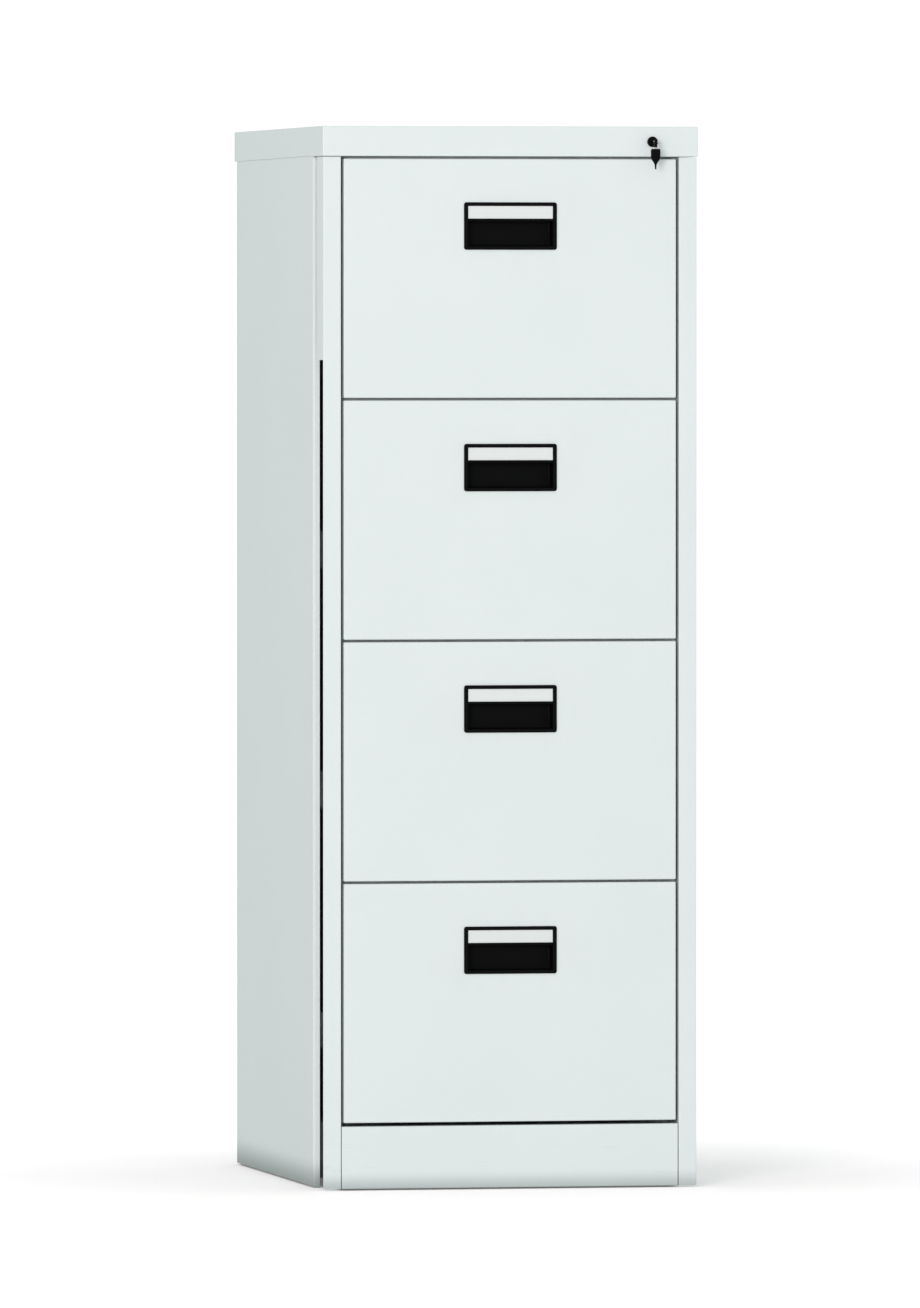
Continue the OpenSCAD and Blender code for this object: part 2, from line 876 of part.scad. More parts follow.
// Folding bow that hangs from the pin, forked around the blade's eye.
module key_bow() {
    fork = 3;
    color(black)
        difference() {
            union() {
                translate([lock_x - neck_w / 2, pin_y, lock_z])
                    rotate([0, 90, 0])
                        cylinder(r = bow_t / 2, h = neck_w);
                span([lock_x - neck_w / 2, pin_y - bow_t / 2, lock_z - shoulder_drop - 1],
                     [lock_x + neck_w / 2, pin_y + bow_t / 2, lock_z]);
                translate([lock_x, 0, (lock_z - shoulder_drop + bow_bottom_z) / 2])
                    upright_plate(pin_y - bow_t / 2, pin_y + bow_t / 2)
                        round_rect(bow_w, lock_z - shoulder_drop - bow_bottom_z, 2);
            }
            span([lock_x - blade_t / 2 - slot_gap, pin_y - bow_t, lock_z - fork],
                 [lock_x + blade_t / 2 + slot_gap, pin_y + bow_t, lock_z + bow_t]);
            translate([lock_x - neck_w, pin_y, lock_z])
                rotate([0, 90, 0])
                    cylinder(r = pin_r + run_fit, h = 2 * neck_w);
        }
}

// Sliding bar: a head with the cam's slot, an arm to the back and a hook for each drawer.
module lock_bar() {
    right = bar_x;
    left = bar_x - bar_w;
    slot_low_x = lock_x + cam_rise - cam_pin_r - 0.6;
    slot_high_x = lock_x + cam_reach + cam_pin_r + 0.6;
    color(zinc)
        difference() {
            union() {
                span([left, bar_y, bar_bottom_z], [right, bar_y + bar_t, head_z + head_h]);
                span([right - bar_t, cross_y, head_z], [right, bar_y + bar_t, head_z + head_h]);
                span([slot_low_x - 1.1, cross_y, head_z], [right, cross_y + bar_t, head_z + head_h]);
                for (i = [1 : drawers])
                    span([hook_tip_x, bar_y, drawer_z(i) + hook_rise],
                         [left + eps, bar_y + bar_t, drawer_z(i) + hook_rise + hook_h]);
            }
            span([slot_low_x, cross_y - eps, lock_z + cam_rise - cam_pin_r - slot_play],
                 [slot_high_x, cross_y + bar_t + eps, lock_z + cam_rise + cam_pin_r + slot_play]);
        }
}

// Guides on the right side panel that the lock bar slides in.
module lock_bar_guides() {
    color(black)
        for (i = [1 : drawers])
            translate([0, 0, drawer_z(i) + guide_rise])
                difference() {
                    span([bar_x - bar_w - clear - guide_wall, bar_y - clear - guide_wall, 0],
                         [panel_in_x, bar_y + bar_t + clear + guide_wall, guide_h]);
                    span([bar_x - bar_w - clear, bar_y - clear, -eps],
                         [bar_x + clear, bar_y + bar_t + clear, guide_h + eps]);
                }
}

top_cover();
side_panel_left();
side_panel_right();
back_panel();
stile_left();
stile_right();
plinth();
base_pan();
top_rail();
divider_rails();
uprights_left();
uprights_right();
runner_channels_left();
runner_channels_right();
floor_glides();
back_screws();
drawer_buffers();
lock_housing();
lock_nut();
lock_plug();
lock_cam();
cam_screw();
key_blade();
key_pin();
key_bow();
lock_bar();
lock_bar_guides();
drawer_front(1);  // drawer_front_1
drawer_front(2);  // drawer_front_2
drawer_front(3);  // drawer_front_3
drawer_front(4);  // drawer_front_4
front_liner(1);  // front_liner_1
front_liner(2);  // front_liner_2
front_liner(3);  // front_liner_3
front_liner(4);  // front_liner_4
drawer_tray(1);  // drawer_tray_1
drawer_tray(2);  // drawer_tray_2
drawer_tray(3);  // drawer_tray_3
drawer_tray(4);  // drawer_tray_4
file_rails(1);  // file_rails_1
file_rails(2);  // file_rails_2
file_rails(3);  // file_rails_3
file_rails(4);  // file_rails_4
handle(1);  // handle_1
handle(2);  // handle_2
handle(3);  // handle_3
handle(4);  // handle_4
label_card(1);  // label_card_1
label_card(2);  // label_card_2
label_card(3);  // label_card_3
label_card(4);  // label_card_4
drawer_runners(1);  // drawer_runners_1
drawer_runners(2);  // drawer_runners_2
drawer_runners(3);  // drawer_runners_3
drawer_runners(4);  // drawer_runners_4
middle_runners(1);  // middle_runners_1
middle_runners(2);  // middle_runners_2
middle_runners(3);  // middle_runners_3
middle_runners(4);  // middle_runners_4
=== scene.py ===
import math

import bmesh
import bpy
from mathutils import Matrix, Vector


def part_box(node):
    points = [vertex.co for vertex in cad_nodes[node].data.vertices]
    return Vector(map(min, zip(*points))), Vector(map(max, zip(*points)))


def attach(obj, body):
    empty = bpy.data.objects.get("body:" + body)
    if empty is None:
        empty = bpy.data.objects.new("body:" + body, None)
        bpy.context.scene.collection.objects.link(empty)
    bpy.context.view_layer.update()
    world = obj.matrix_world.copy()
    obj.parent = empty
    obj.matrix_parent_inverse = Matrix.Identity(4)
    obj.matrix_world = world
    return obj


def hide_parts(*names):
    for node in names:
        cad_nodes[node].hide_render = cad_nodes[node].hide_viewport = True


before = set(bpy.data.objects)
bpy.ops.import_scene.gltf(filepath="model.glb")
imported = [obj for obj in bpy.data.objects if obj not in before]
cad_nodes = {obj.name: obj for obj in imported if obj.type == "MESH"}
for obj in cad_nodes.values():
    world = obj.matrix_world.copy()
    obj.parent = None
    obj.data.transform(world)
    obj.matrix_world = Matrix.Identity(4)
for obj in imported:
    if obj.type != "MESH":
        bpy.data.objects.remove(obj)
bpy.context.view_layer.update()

scene = bpy.context.scene


# ---- Viewpoint ----
# The cabinet is seen from far off through a long lens, from a little to the left of its front
# and from between its middle and its top, so its left side shows as a narrow strip.

lens = bpy.data.cameras.new("studio_camera")
lens.sensor_width = 36
lens.lens = 408.1
lens.clip_end = 80
tilt_down, turn_right = 1.249, 11.02
studio_camera = bpy.data.objects.new("studio_camera", lens)
studio_camera.location = (-3.584, -18.373, 1.067)
studio_camera.rotation_euler = (math.radians(90 - tilt_down), 0, math.radians(-turn_right))
scene.collection.objects.link(studio_camera)
scene.camera = studio_camera


# ---- Floor and light ----
# A pale studio floor that runs to white, in an even white room, with one wide lamp to the
# front left. The lamp leaves the cabinet's left side a tone darker than its front, and the
# floor glows a little away from the cabinet, so that it meets the room without a line.

class Value:
    """A number that varies over a surface. Sums and products of it add Math nodes."""

    def __init__(self, finish, socket):
        self.finish = finish
        self.socket = socket

    def maths(self, operation, *numbers):
        sockets = dict(enumerate(numbers))
        return self.finish.add("ShaderNodeMath", {"operation": operation}, sockets)["Value"]

    def __add__(self, other):
        return self.maths("ADD", self, other)

    def __radd__(self, other):
        return self.maths("ADD", other, self)

    def __sub__(self, other):
        return self.maths("SUBTRACT", self, other)

    def __rsub__(self, other):
        return self.maths("SUBTRACT", other, self)

    def __mul__(self, other):
        return self.maths("MULTIPLY", self, other)

    def __rmul__(self, other):
        return self.maths("MULTIPLY", other, self)

    def __mod__(self, other):
        return self.maths("FLOORED_MODULO", self, other)

    def size(self):
        return self.maths("ABSOLUTE", self)

    def fade(self, low, high):
        """Climbs smoothly from 0 at low to 1 at high."""
        return self.finish.add("ShaderNodeMapRange", {"interpolation_type": "SMOOTHSTEP"},
                               {"Value": self, "From Min": low, "From Max": high})["Result"]


class Finish:
    """A node tree for one finish. add() makes every node in it."""

    def __init__(self, owner):
        self.owner = owner
        owner.use_nodes = True
        self.tree = owner.node_tree
        self.tree.nodes.clear()

    def add(self, kind, settings, sockets):
        """Adds a node, sets it up, fills or links its sockets, and gives its outputs by name."""
        node = self.tree.nodes.new(kind)
        for key, value in settings.items():
            setattr(node, key, value)
        for key, value in sockets.items():
            if isinstance(key, int):
                socket = node.inputs[key]
            else:
                socket = next(s for s in node.inputs if s.enabled and s.name == key)
            if isinstance(value, Value):
                self.tree.links.new(value.socket, socket)
            else:
                socket.default_value = value
        return {o.name: Value(self, o) for o in node.outputs if o.enabled}

    def place(self):
        """The point on the surface, in the object's own metres."""
        return self.add("ShaderNodeTexCoord", {}, {})["Object"]

    def noise(self, place, scale, detail=2.0, roughness=0.5):
        """Soft random spots, scale of them to the metre."""
        return self.add("ShaderNodeTexNoise", {}, {"Vector": place, "Scale": scale,
                                                   "Detail": detail, "Roughness": roughness})["Fac"]

    def stretched(self, place, along_x, along_y, along_z):
        """The same point with each direction stretched."""
        return self.add("ShaderNodeMapping", {},
                        {"Vector": place, "Scale": (along_x, along_y, along_z)})["Vector"]

    def parts(self, place):
        """The point's three coordinates."""
        out = self.add("ShaderNodeSeparateXYZ", {}, {"Vector": place})
        return out["X"], out["Y"], out["Z"]

    def blend(self, share, first, second):
        """From the first colour to the second as share goes from 0 to 1."""
        return self.add("ShaderNodeMix", {"data_type": "RGBA"},
                        {"Factor": share, "A": first, "B": second})["Result"]

    def bump(self, height, depth, **under):
        """Turns a height into a bumpy normal, over another one given as Normal. Depth is in metres."""
        return self.add("ShaderNodeBump", {}, {"Height": height, "Distance": depth, "Strength": 1.0,
                                               **under})["Normal"]

    def surface(self, **sockets):
        """Ends the tree in a Principled surface. Names use _ for a space."""
        named = {key.replace("_", " "): value for key, value in sockets.items()}
        shader = self.add("ShaderNodeBsdfPrincipled", {}, named)["BSDF"]
        self.add("ShaderNodeOutputMaterial", {}, {"Surface": shader})
        return self.owner


def new_finish(name):
    return Finish(bpy.data.materials.new(name))


floor_paper = new_finish("floor_paper")
paper_place = floor_paper.place()
paper_tone = floor_paper.blend(floor_paper.noise(paper_place, 3.0, 3.0),
                               (0.82, 0.83, 0.82, 1), (0.86, 0.87, 0.86, 1))
paper = floor_paper.add("ShaderNodeBsdfDiffuse", {}, {"Color": paper_tone})["BSDF"]
bright_paper = floor_paper.add("ShaderNodeBsdfDiffuse", {}, {"Color": (0.97, 0.94, 0.94, 1)})["BSDF"]
near_glow, far_glow = (0.12, 0.12, 0.12, 1), (0.30, 0.30, 0.30, 1)
from_middle = floor_paper.add("ShaderNodeVectorMath", {"operation": "LENGTH"}, {0: paper_place})["Value"]
glow_tone = floor_paper.blend(from_middle.fade(0.35, 1.1), near_glow, far_glow)
paper_glow = floor_paper.add("ShaderNodeEmission", {}, {"Color": glow_tone})["Emission"]
seen_paper = floor_paper.add("ShaderNodeAddShader", {}, {0: bright_paper, 1: paper_glow})["Shader"]
straight = floor_paper.add("ShaderNodeLightPath", {}, {})["Is Camera Ray"]
floor_surface = floor_paper.add("ShaderNodeMixShader", {}, {0: straight, 1: paper, 2: seen_paper})["Shader"]
floor_paper.add("ShaderNodeOutputMaterial", {}, {"Surface": floor_surface})

floor_reach = 60
floor_gap = 0.0005
floor_shape = bmesh.new()
bmesh.ops.create_grid(floor_shape, x_segments=1, y_segments=1, size=floor_reach)
bmesh.ops.translate(floor_shape, vec=(0, 0, -floor_gap), verts=floor_shape.verts)
floor_mesh = bpy.data.meshes.new("floor")
floor_shape.to_mesh(floor_mesh)
floor_shape.free()
floor_mesh.materials.append(floor_paper.owner)
floor = bpy.data.objects.new("floor", floor_mesh)
scene.collection.objects.link(floor)

room = Finish(bpy.data.worlds.new("white_room"))
room_light = room.add("ShaderNodeBackground", {},
                      {"Color": (0.955, 1, 0.99, 1), "Strength": 0.83})["Background"]
room_wall = room.add("ShaderNodeBackground", {}, {"Color": (1, 1, 1, 1), "Strength": 1.06})["Background"]
straight_out = room.add("ShaderNodeLightPath", {}, {})["Is Camera Ray"]
room_seen = room.add("ShaderNodeMixShader", {}, {0: straight_out, 1: room_light, 2: room_wall})["Shader"]
room.add("ShaderNodeOutputWorld", {}, {"Surface": room_seen})
scene.world = room.owner

wide_lamp = bpy.data.lights.new("wide_lamp", "AREA")
wide_lamp.shape = "DISK"
wide_lamp.size = 4
wide_lamp.energy = 760
wide_lamp.color = (1, 0.89, 0.91)
wide_lamp_stand = bpy.data.objects.new("wide_lamp", wide_lamp)
wide_lamp_stand.location = (-5.1, -10.9, 2.6)
towards_cabinet = Vector((0, 0, 0.6)) - wide_lamp_stand.location
wide_lamp_stand.rotation_euler = towards_cabinet.to_track_quat("-Z", "Y").to_euler()
scene.collection.objects.link(wide_lamp_stand)
scene.view_settings.view_transform = "Standard"


# ---- Top cover ----
# A shallow tray of 0.8 mm steel turned over the body, folded along its edges and welded at
# its corners. Its front skirt turns back in a flange and is drilled for the lock. The whole
# cabinet is powder coated in a light greenish grey with a fine orange-peel surface.

sheet = 0.0008
fold_r = 0.0012
UP, BACK = Vector((0, 0, 1)), Vector((0, 1, 0))


def box(low, high):
    """A closed box between two corners."""
    low, high = Vector(low), Vector(high)
    shape = bmesh.new()
    bmesh.ops.create_cube(shape, size=1)
    bmesh.ops.scale(shape, vec=high - low, verts=shape.verts)
    bmesh.ops.translate(shape, vec=(low + high) / 2, verts=shape.verts)
    shape.normal_update()
    return shape


def facing(shape, direction):
    """The faces that look in that direction."""
    return [f for f in shape.faces if f.normal.dot(Vector(direction)) > 0.9]


def between(faces, low, high):
    """The faces whose middles lie between two corners."""
    kept = []
    for f in faces:
        middle = f.calc_center_median()
        if all(a - 1e-6 <= m <= b + 1e-6 for a, m, b in zip(low, middle, high)):
            kept.append(f)
    return kept


def remove(shape, faces):
    bmesh.ops.delete(shape, geom=faces, context="FACES")


def cut(shape, faces, point, direction):
    """Splits those faces along a plane."""
    parts = dict.fromkeys([e for f in faces for e in f.edges] + [v for f in faces for v in f.verts])
    bmesh.ops.bisect_plane(shape, geom=list(faces) + list(parts), plane_co=point, plane_no=direction)


def sharp(shape, lowest=0.5):
    """The edges where two faces meet at an angle."""
    shape.normal_update()
    return [e for e in shape.edges if len(e.link_faces) == 2 and e.calc_face_angle() > lowest]


def round_off(shape, edges, radius, steps=3):
    bmesh.ops.bevel(shape, geom=edges, offset=radius, offset_type="OFFSET", segments=steps,
                    profile=0.5, affect="EDGES", material=-1, clamp_overlap=True)
    shape.normal_update()


def push(shape, faces, travel):
    """Extrudes faces by a vector and gives the moved faces."""
    grown = bmesh.ops.extrude_face_region(shape, geom=faces)["geom"]
    bmesh.ops.translate(shape, vec=travel, verts=[g for g in grown if isinstance(g, bmesh.types.BMVert)])
    bmesh.ops.delete(shape, geom=faces, context="FACES_ONLY")
    shape.normal_update()
    return [g for g in grown if isinstance(g, bmesh.types.BMFace)]


def give_wall(shape, wall=sheet):
    """Turns an outer skin into sheet metal: the second skin lies inside it."""
    bmesh.ops.solidify(shape, geom=shape.faces[:], thickness=wall)


def piece(name, shape, finish, body, slot, *stands_for):
    """Makes the finished shape an object that rides on a body in place of CAD nodes."""
    bmesh.ops.recalc_face_normals(shape, faces=shape.faces)
    mesh = bpy.data.meshes.new(name)
    shape.to_mesh(mesh)
    shape.free()
    mesh.materials.append(finish)
    mesh.shade_smooth()
    mesh.set_sharp_from_angle(angle=math.radians(40))
    made = bpy.data.objects.new(name, mesh)
    scene.collection.objects.link(made)
    weighted = made.modifiers.new("even_shading", "WEIGHTED_NORMAL")
    weighted.keep_sharp = True
    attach(made, body)
    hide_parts(*stands_for)
    return made


def sprayed(coat, place):
    """What every coat has: faint clouds in its tone, and orange peel over slight waves."""
    clouds = coat.noise(place, 5.0, 4.0, 0.6)
    tone = coat.blend(clouds.fade(0.3, 0.7), (0.600, 0.660, 0.656, 1), (0.612, 0.672, 0.668, 1))
    waves = coat.bump(coat.noise(place, 4.0, 1.0), 0.0006)
    texture = coat.bump(coat.noise(place, 700, 2.0, 0.4), 0.00004, Normal=waves)
    return clouds, tone, texture


def powder_coat(name, scuffs, painted_shade, painted_shade_top):
    """Light grey coat with low scuffs, and painted shade that darkens it towards the floor, fading out at a
    height above it.
    """
    coat = new_finish(name)
    place = coat.place()
    height = coat.parts(place)[2]
    clouds, tone, texture = sprayed(coat, place)
    # Painted shade: within a few centimetres of the floor the coat darkens towards a dark grey-green. It
    # stands in for the floor's contact shadow.
    near_floor_shade = 1 - height.fade(0.0, painted_shade_top)
    streaks = coat.noise(coat.stretched(place, 7, 7, 130), 1.0, 5.0, 0.65).fade(0.60, 0.72)
    marks = streaks * (1 - height.fade(0.02, 0.085)) * scuffs
    floor_shaded = coat.blend(near_floor_shade * painted_shade, tone, (0.16, 0.20, 0.19, 1))
    marked = coat.blend(marks * 0.35, floor_shaded, (0.25, 0.26, 0.26, 1))
    dull = 0.40 + 0.06 * clouds + 0.12 * marks
    return coat.surface(Base_Color=marked, Roughness=dull, Normal=texture, Specular_IOR_Level=0.35)


# Both coats carry painted contact shade near the floor. On the plinth's and stiles' coat it reaches less
# high.
light_grey = powder_coat("light_grey_coat", scuffs=0.25, painted_shade=0.80, painted_shade_top=0.038)
kicked_grey = powder_coat("kicked_light_grey_coat", scuffs=0.6, painted_shade=0.50, painted_shade_top=0.024)
cover_low, cover_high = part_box("top_cover")
housing_low, housing_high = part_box("lock_housing")
lock_x, lock_z = (housing_low.x + housing_high.x) / 2, (housing_low.z + housing_high.z) / 2
cover_flange = 0.071
barrel_r = 0.0057
hole_patch = 0.008

cover = box(cover_low, cover_high)
cut(cover, facing(cover, -UP), (0, cover_low.y + cover_flange, 0), BACK)
behind = (cover_low.x, cover_low.y + cover_flange, cover_low.z)
remove(cover, between(facing(cover, -UP), behind, cover_high))
round_off(cover, sharp(cover), fold_r)
# A square of the skirt around the lock's hole comes out, and a ring of faces joins the two.
patch_low = Vector((lock_x - hole_patch, cover_low.y, lock_z - hole_patch))
patch_high = Vector((lock_x + hole_patch, cover_low.y, lock_z + hole_patch))
for x in (patch_low.x, patch_high.x):
    cut(cover, facing(cover, -BACK), (x, 0, 0), (1, 0, 0))
for z in (patch_low.z, patch_high.z):
    strip = between(facing(cover, -BACK), (patch_low.x, cover_low.y, 0),
                    (patch_high.x, cover_low.y, cover_high.z))
    cut(cover, strip, (0, 0, z), UP)
patch = between(facing(cover, -BACK), patch_low, patch_high)
hole_edges = list(patch[0].edges)
remove(cover, patch)
split = bmesh.ops.subdivide_edges(cover, edges=hole_edges, cuts=5)["geom_split"]
rim = bmesh.ops.create_circle(cover, segments=24, radius=barrel_r)["verts"]
bmesh.ops.rotate(cover, cent=(0, 0, 0), matrix=UP.rotation_difference(BACK).to_matrix(), verts=rim)
bmesh.ops.translate(cover, vec=(lock_x, cover_low.y, lock_z), verts=rim)
rim_edges = list(dict.fromkeys(e for v in rim for e in v.link_edges))
square_edges = [e for e in split if isinstance(e, bmesh.types.BMEdge)]
bmesh.ops.bridge_loops(cover, edges=rim_edges + square_edges)
give_wall(cover)
piece("top_cover_sheet", cover, light_grey, "carcass", "painted_steel", "top_cover")


# ---- Side panels ----
# Each side is one sheet: its front edge rolls round in a 3 mm radius and turns in by a narrow
# flange, its back edge folds into a flange for the back panel, and its top steps in by a
# fraction of a millimetre to fit inside the cover.

roll_r = 0.003
edge_flange = 0.0085
rear_flange = 0.020
top_flange = 0.020
neck_step = 0.0004
edge_y = cover_low.y + cover_flange
jamb_x = 0.214


def standing_sheet(points, low_z, high_z):
    """A sheet on edge, folded along the points of its plan."""
    shape = bmesh.new()
    corners = [shape.verts.new((x, y, low_z)) for x, y in points]
    for pair in zip(corners, corners[1:]):
        shape.edges.new(pair)
    grown = bmesh.ops.extrude_edge_only(shape, edges=shape.edges[:])["geom"]
    bmesh.ops.translate(shape, vec=(0, 0, high_z - low_z),
                        verts=[g for g in grown if isinstance(g, bmesh.types.BMVert)])
    shape.normal_update()
    return shape


def edges_at(shape, x, y):
    """The upright edges over one point of the plan."""
    return [e for e in shape.edges
            if all(abs(v.co.x - x) < 1e-5 and abs(v.co.y - y) < 1e-5 for v in e.verts)]


def point_outwards(shape, towards):
    """Turns a skin so that its largest face looks that way."""
    largest = max(shape.faces, key=lambda f: f.calc_area())
    if largest.normal.dot(Vector(towards)) < 0:
        bmesh.ops.reverse_faces(shape, faces=shape.faces)


def to_left(shape):
    """Mirrors a right-hand piece to the left."""
    bmesh.ops.scale(shape, vec=(-1, 1, 1), verts=shape.verts)


panel_low, panel_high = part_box("side_panel_right")
wall_x = panel_high.x
skirt_z = cover_low.z - sheet
neck_rise = 2 * neck_step
top_folds = ((-neck_step, 0, neck_rise), (0, 0, panel_high.z - skirt_z - neck_rise), (-top_flange, 0, 0))
for hand in ("right", "left"):
    panel = standing_sheet([(wall_x - edge_flange, edge_y), (wall_x, edge_y), (wall_x, panel_high.y),
                            (wall_x - rear_flange, panel_high.y)], panel_low.z, skirt_z)
    point_outwards(panel, (1, 0, 0))
    round_off(panel, edges_at(panel, wall_x, edge_y), roll_r, 8)
    round_off(panel, edges_at(panel, wall_x, panel_high.y), fold_r)
    top_edge = [e for e in panel.edges if all(abs(v.co.z - skirt_z) < 1e-6 for v in e.verts)
                and all(abs(v.co.x - wall_x) < 1e-6 for v in e.verts)]
    for travel in top_folds:
        grown = bmesh.ops.extrude_edge_only(panel, edges=top_edge)["geom"]
        bmesh.ops.translate(panel, vec=travel,
                            verts=[g for g in grown if isinstance(g, bmesh.types.BMVert)])
        top_edge = [g for g in grown if isinstance(g, bmesh.types.BMEdge)]
    bmesh.ops.recalc_face_normals(panel, faces=panel.faces)
    point_outwards(panel, (1, 0, 0))
    give_wall(panel)
    if hand == "left":
        to_left(panel)
    piece(f"side_panel_{hand}_sheet", panel, light_grey, "carcass", "painted_steel", f"side_panel_{hand}")


# ---- Front stiles ----
# An upright of folded steel on each side of the drawers. Its face stands flush with the drawer
# fronts, its jamb runs back beside them, and a side strip closes the corner at the top only:
# below it the corner is an open channel between the stile and the side panel's flange.

stile_low, stile_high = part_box("stile_right")
strip_d = 0.042
strip_h = 0.252
cover_gap = 0.0008
stile_top = cover_low.z - cover_gap
strip_z = stile_top - strip_h
front_t = 0.022
stile_fold_r = 0.0011
outer_x = stile_high.x
tab_low = (jamb_x, stile_low.y + front_t, stile_top)
tab_high = (jamb_x, stile_high.y, stile_high.z)
for hand in ("right", "left"):
    stile = standing_sheet([(jamb_x, stile_high.y), (jamb_x, stile_low.y), (outer_x, stile_low.y),
                            (outer_x, stile_low.y + strip_d)], stile_low.z, stile_high.z)
    point_outwards(stile, (-1, 0, 0))
    front_folds = edges_at(stile, jamb_x, stile_low.y) + edges_at(stile, outer_x, stile_low.y)
    round_off(stile, front_folds, stile_fold_r)
    side_strip = [f for f in stile.faces if f.calc_center_median().x > outer_x - 1e-5]
    cut(stile, side_strip, (0, 0, strip_z), UP)
    remove(stile, [f for f in stile.faces if f.calc_center_median().x > outer_x - 1e-5
                   and f.calc_center_median().z < strip_z])
    # A tab at the jamb's top reaches the cover; the face and the strip stop short of it.
    cut(stile, stile.faces[:], (0, 0, stile_top), UP)
    cut(stile, facing(stile, (-1, 0, 0)), (0, stile_low.y + front_t, 0), BACK)
    tab = between(stile.faces, tab_low, tab_high)
    remove(stile, [f for f in stile.faces if f.calc_center_median().z > stile_top and f not in tab])
    bmesh.ops.recalc_face_normals(stile, faces=stile.faces)
    face = max((f for f in stile.faces if abs(f.normal.y) > 0.9), key=lambda f: f.calc_area())
    if face.normal.y > 0:
        bmesh.ops.reverse_faces(stile, faces=stile.faces)
    give_wall(stile)
    if hand == "left":
        to_left(stile)
    piece(f"stile_{hand}_sheet", stile, kicked_grey, "carcass", "painted_steel", f"stile_{hand}")


# ---- Plinth ----
# A kick panel between the stiles, folded back all round. Shoes and brooms leave long faint
# marks on its coat, more than on the sides of the cabinet.

plinth_low, plinth_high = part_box("plinth")
kick = box(plinth_low, plinth_high)
remove(kick, facing(kick, BACK))
round_off(kick, sharp(kick), fold_r)
give_wall(kick)
piece("plinth_sheet", kick, kicked_grey, "carcass", "painted_steel", "plinth")


# ---- Drawer fronts ----
# Each front is a steel pan, 22 mm deep, with a cut-out for the handle and a flat liner welded
# over its back. Hands polish the coat a little around and above the handle.

def touched_coat(name, first_z, pitch, handle_z):
    """The grey coat of the drawer fronts, with the sheen that hands leave by the handles."""
    coat = new_finish(name)
    place = coat.place()
    across, _, height = coat.parts(place)
    in_drawer = (height - first_z) % pitch
    clouds, tone, texture = sprayed(coat, place)
    near_x = 1 - across.size().fade(0.05, 0.13)
    near_z = 1 - (in_drawer - handle_z).size().fade(0.02, 0.07)
    smears = coat.noise(coat.stretched(place, 60, 60, 22), 1.0, 4.0, 0.6).fade(0.35, 0.7)
    touched = near_x * near_z * smears
    handled = coat.blend(touched * 0.05, tone, (0.42, 0.42, 0.39, 1))
    dull = 0.40 + 0.06 * clouds - 0.08 * touched
    return coat.surface(Base_Color=handled, Roughness=dull, Normal=texture, Specular_IOR_Level=0.35)


lowest_z, next_z = (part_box(f"drawer_front_{number}")[0].z for number in (4, 3))
grip_low, grip_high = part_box("handle_4")
front_coat = touched_coat("drawer_front_coat", lowest_z, pitch=next_z - lowest_z,
                          handle_z=(grip_low.z + grip_high.z) / 2 - lowest_z)
front_fold_r = 0.0016
cup_inset = 0.0028
for number in (1, 2, 3, 4):
    front_low, front_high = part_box(f"drawer_front_{number}")
    frame_low, frame_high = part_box(f"handle_{number}")
    pan = box(front_low, front_high)
    remove(pan, facing(pan, BACK))
    round_off(pan, sharp(pan), front_fold_r)
    cut_low = frame_low + Vector((cup_inset, 0, cup_inset))
    cut_high = frame_high - Vector((cup_inset, 0, cup_inset))
    for x in (cut_low.x, cut_high.x):
        cut(pan, facing(pan, -BACK), (x, 0, 0), (1, 0, 0))
    for z in (cut_low.z, cut_high.z):
        cut(pan, facing(pan, -BACK), (0, 0, z), UP)
    remove(pan, between(facing(pan, -BACK), cut_low, cut_high))
    give_wall(pan)
    piece(f"drawer_front_{number}_pan", pan, front_coat, f"drawer_{number}", "painted_steel",
          f"drawer_front_{number}")


# ---- Handles and labels ----
# A moulded black pull clipped into each front: a slim frame, a narrow window with a paper card
# behind it, and below that a deep cup in which the fingers reach up behind the label.

def black_moulding(name):
    """Black plastic with a fine spark-eroded grain and a slightly uneven gloss."""
    moulding = new_finish(name)
    place = moulding.place()
    grain = moulding.noise(place, 2200, 2.0, 0.5)
    clouds = moulding.noise(place, 30, 3.0, 0.6)
    tone = moulding.blend(clouds, (0.0006, 0.0009, 0.0008, 1), (0.0016, 0.0021, 0.0020, 1))
    dull = 0.45 + 0.12 * clouds
    return moulding.surface(Base_Color=tone, Roughness=dull, Normal=moulding.bump(grain, 0.00003),
                            Specular_IOR_Level=0.06)


def label_card():
    """Uncoated white card: short fibres in its tone and its surface."""
    card = new_finish("white_card")
    place = card.place()
    fibres = card.noise(card.stretched(place, 500, 500, 1500), 1.0, 4.0, 0.7)
    clouds = card.noise(place, 60, 2.0)
    tone = card.blend(fibres * 0.6 + clouds * 0.4, (0.58, 0.62, 0.61, 1), (0.64, 0.68, 0.67, 1))
    return card.surface(Base_Color=tone, Roughness=0.85 + 0.1 * fibres, Normal=card.bump(fibres, 0.00004),
                        Specular_IOR_Level=0.2)


handle_black = black_moulding("handle_black")
card_white = label_card()
frame_proud = 0.002
frame_corner_r = 0.003
frame_edge_r = 0.0011
body_inset = 0.003
handle_rim = 0.0045
grip_h = 0.031
window_h = 0.016
cup_wall = 0.0018
cup_back = 0.0167
cup_corner_r = 0.003
lip_t = 0.0032
mouth_x = 0.05375
mouth_edge_r = 0.0009
card_back = 0.0015
card_t = 0.0005
card_lift = 0.0001
card_play = 0.0002


def on_plane(edge, axis, value):
    return all(abs(v.co[axis] - value) < 1e-5 for v in edge.verts)


